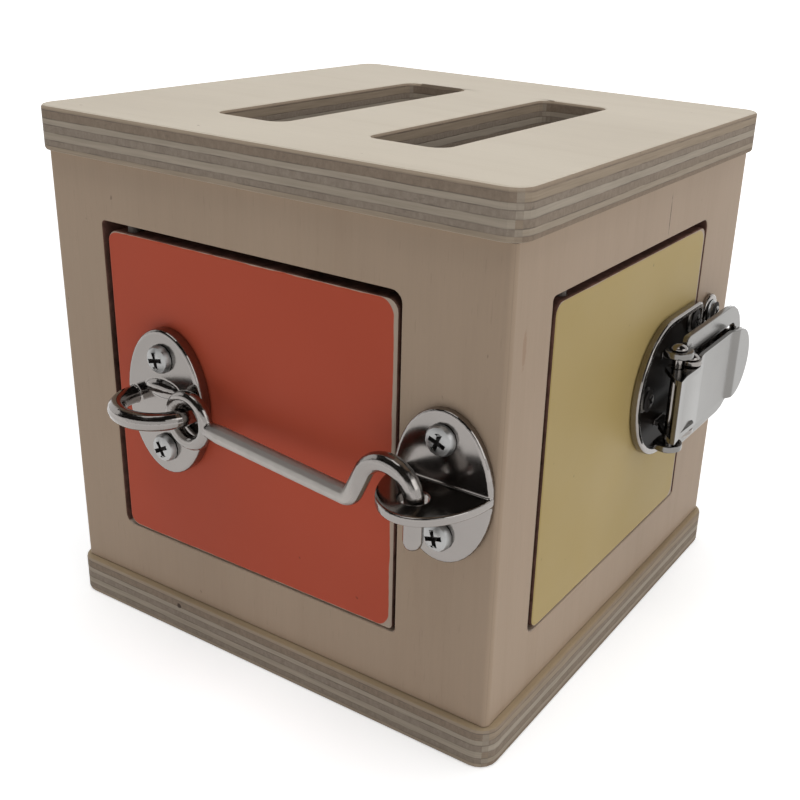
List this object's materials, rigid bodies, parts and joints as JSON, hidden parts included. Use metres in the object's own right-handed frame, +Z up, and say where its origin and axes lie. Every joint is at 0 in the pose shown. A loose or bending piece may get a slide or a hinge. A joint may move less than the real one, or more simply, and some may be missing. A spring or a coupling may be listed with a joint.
{
  "type": "wooden latch box",
  "caption": "Plywood cube with a painted hinged door in each side, each held by a different latch, and two hand slots in its top.",
  "frame": {"origin": "centre of the underside of the base plate", "axes": "+Z up; -Y towards the front, the side with the red door and the hook; +X towards the right, the side with the yellow door and the draw latch"},
  "size_m": [0.1753, 0.1758, 0.15],
  "materials": {
    "birch_plywood": "sanded, clear matt lacquer, plies showing on the edges",
    "red_paint": "plywood with satin red paint on its outer face",
    "yellow_paint": "plywood with satin yellow paint on its outer face",
    "green_paint": "plywood with satin green paint on its outer face",
    "blue_paint": "plywood with satin blue paint on its outer face",
    "nickel_plate": "bright nickel plate",
    "zinc_plated_steel": "bright zinc plate"
  },
  "bodies": {
    "box": {"back_wall": "birch_plywood", "base_plate": "birch_plywood", "blue_door_bottom_pin": "zinc_plated_steel", "blue_door_top_pin": "zinc_plated_steel", "bolt_keeper": "nickel_plate", "bolt_keeper_screw_bottom": "zinc_plated_steel", "bolt_keeper_screw_top": "zinc_plated_steel", "button_plate": "nickel_plate", "button_plate_screw_bottom": "zinc_plated_steel", "button_plate_screw_top": "zinc_plated_steel", "button_rivet": "nickel_plate", "catch_plate": "nickel_plate", "catch_plate_screw_bottom": "zinc_plated_steel", "catch_plate_screw_top": "zinc_plated_steel", "front_wall": "birch_plywood", "green_door_bottom_pin": "zinc_plated_steel", "green_door_top_pin": "zinc_plated_steel", "latch_keeper": "nickel_plate", "latch_keeper_screw_bottom": "zinc_plated_steel", "latch_keeper_screw_top": "zinc_plated_steel", "left_wall": "birch_plywood", "red_door_bottom_pin": "zinc_plated_steel", "red_door_top_pin": "zinc_plated_steel", "right_wall": "birch_plywood", "top_plate": "birch_plywood", "yellow_door_bottom_pin": "zinc_plated_steel", "yellow_door_top_pin": "zinc_plated_steel"},
    "red_door": {"eye_plate": "nickel_plate", "eye_plate_screw_bottom": "zinc_plated_steel", "eye_plate_screw_top": "zinc_plated_steel", "red_door": "red_paint"},
    "hook": {"hook": "nickel_plate"},
    "yellow_door": {"latch_base": "nickel_plate", "latch_base_screw_bottom": "zinc_plated_steel", "latch_base_screw_left": "zinc_plated_steel", "latch_base_screw_top": "zinc_plated_steel", "yellow_door": "yellow_paint", "lever_pin": "nickel_plate"},
    "lever": {"latch_lever": "nickel_plate", "link_pin": "nickel_plate"},
    "link": {"latch_link": "nickel_plate"},
    "blue_door": {"blue_door": "blue_paint", "bolt_plate": "nickel_plate", "bolt_plate_screw_left_bottom": "zinc_plated_steel", "bolt_plate_screw_left_top": "zinc_plated_steel", "bolt_plate_screw_right_bottom": "zinc_plated_steel", "bolt_plate_screw_right_top": "zinc_plated_steel"},
    "bolt": {"bolt": "nickel_plate"},
    "green_door": {"green_door": "green_paint"},
    "button": {"turn_button": "nickel_plate"}
  },
  "joints": [
    {"name": "red_door_hinge", "type": "hinge", "parent": "box", "child": "red_door", "pos_m": [-0.045, -0.07, 0.0747], "axis": [0, 0, -1], "range_deg": [0, 75]},
    {"name": "hook_swing", "type": "hinge", "parent": "red_door", "child": "hook", "pos_m": [-0.0183, -0.0799, 0.075], "axis": [-0.0649, -0.9979, 0], "range_deg": [0, 90]},
    {"name": "yellow_door_hinge", "type": "hinge", "parent": "box", "child": "yellow_door", "pos_m": [0.07, -0.045, 0.0747], "axis": [0, 0, -1], "range_deg": [0, 75]},
    {"name": "lever_throw", "type": "hinge", "parent": "yellow_door", "child": "lever", "pos_m": [0.0825, 0.0172, 0.0762], "axis": [0, 0, -1], "range_deg": [0, 30]},
    {"name": "link_lift", "type": "hinge", "parent": "lever", "child": "link", "pos_m": [0.0806, 0.012, 0.0762], "axis": [0, 0, -1], "range_deg": [-24, 0]},
    {"name": "blue_door_hinge", "type": "hinge", "parent": "box", "child": "blue_door", "pos_m": [-0.07, 0.045, 0.0747], "axis": [0, 0, -1], "range_deg": [0, 75]},
    {"name": "bolt_slide", "type": "slide", "parent": "blue_door", "child": "bolt", "axis": [0, -1, 0], "range_m": [0, 0.021]},
    {"name": "green_door_hinge", "type": "hinge", "parent": "box", "child": "green_door", "pos_m": [0.045, 0.07, 0.0747], "axis": [0, 0, -1], "range_deg": [0, 75]},
    {"name": "button_turn", "type": "hinge", "parent": "box", "child": "button", "pos_m": [-0.058, 0.073, 0.0755], "axis": [0, -1, 0], "range_deg": [0, 90]}
  ],
  "couplings": [
    {"joint": "hook_swing", "follows": "red_door_hinge", "ratio": 1.2},
    {"joint": "lever_throw", "follows": "yellow_door_hinge", "ratio": 0.4},
    {"joint": "link_lift", "follows": "yellow_door_hinge", "ratio": -0.32}
  ]
}
